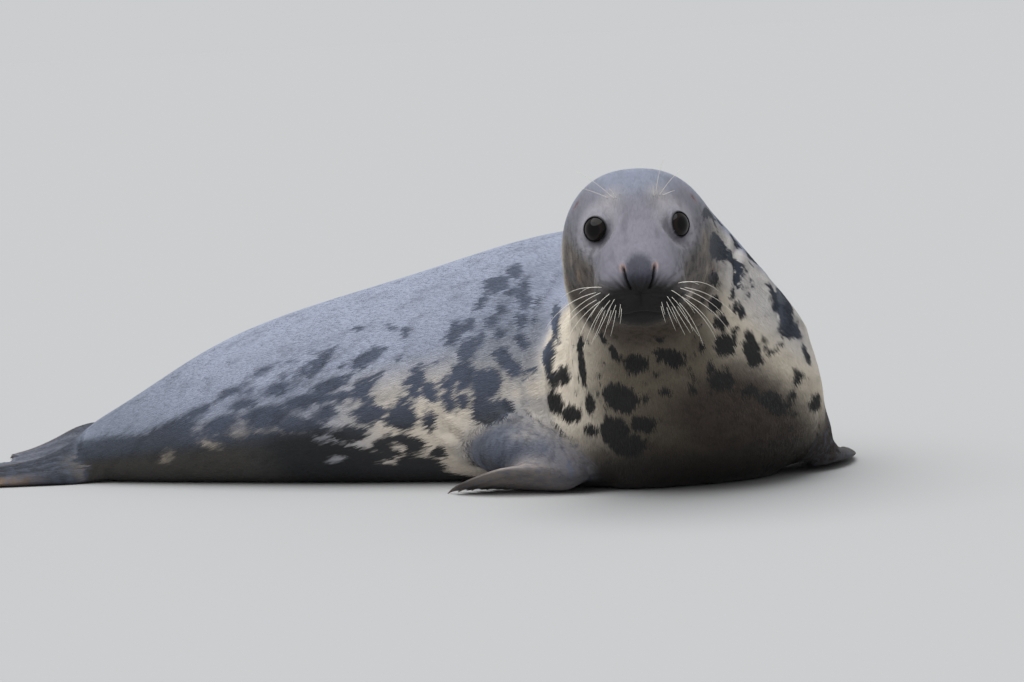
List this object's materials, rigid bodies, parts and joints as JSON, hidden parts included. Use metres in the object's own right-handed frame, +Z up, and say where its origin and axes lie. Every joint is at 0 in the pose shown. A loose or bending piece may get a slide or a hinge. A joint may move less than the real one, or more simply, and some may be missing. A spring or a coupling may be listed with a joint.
{
  "type": "grey seal",
  "caption": "Life-size grey seal cow lying on her belly with her head raised and turned towards the viewer, fore flippers folded under the chest.",
  "frame": {"origin": "a point of the belly's flat rest on the floor, below the chest", "axes": "+Z up from the floor, +X along the hind trunk towards the chest, +Y to the animal's left, so the head looks towards -Y"},
  "size_m": [1.5744, 0.8726, 0.4926],
  "materials": {
    "grey_coat": "short dense hair, blue-grey above, cream with dark blotches below",
    "face_coat": "very short hair, grey-brown, nearly black round the mouth",
    "flipper_coat": "very short hair over dark skin, bare at the edges",
    "eye": "polished, nearly black",
    "ear_skin": "bare reddish skin round the ear hole",
    "claw_horn": "dark horn, slightly polished"
  },
  "bodies": {
    "root": {"chest": "grey_coat", "ear_left": "ear_skin", "ear_right": "ear_skin", "eye_left": "eye", "eye_right": "eye", "fore_flipper_left": "flipper_coat", "fore_flipper_left_claw_1": "claw_horn", "fore_flipper_left_claw_2": "claw_horn", "fore_flipper_left_claw_3": "claw_horn", "fore_flipper_left_claw_4": "claw_horn", "fore_flipper_left_claw_5": "claw_horn", "fore_flipper_right": "flipper_coat", "fore_flipper_right_claw_1": "claw_horn", "fore_flipper_right_claw_2": "claw_horn", "fore_flipper_right_claw_3": "claw_horn", "fore_flipper_right_claw_4": "claw_horn", "fore_flipper_right_claw_5": "claw_horn", "forearm_left": "grey_coat", "forearm_right": "grey_coat", "head": "face_coat", "hind_flipper_left": "flipper_coat", "hind_flipper_left_claw_1": "claw_horn", "hind_flipper_left_claw_2": "claw_horn", "hind_flipper_left_claw_3": "claw_horn", "hind_flipper_left_claw_4": "claw_horn", "hind_flipper_left_claw_5": "claw_horn", "hind_flipper_right": "flipper_coat", "hind_flipper_right_claw_1": "claw_horn", "hind_flipper_right_claw_2": "claw_horn", "hind_flipper_right_claw_3": "claw_horn", "hind_flipper_right_claw_4": "claw_horn", "hind_flipper_right_claw_5": "claw_horn", "loin": "grey_coat", "lower_jaw": "face_coat", "neck": "grey_coat", "rump": "grey_coat", "tail": "grey_coat"}
  },
  "joints": []
}
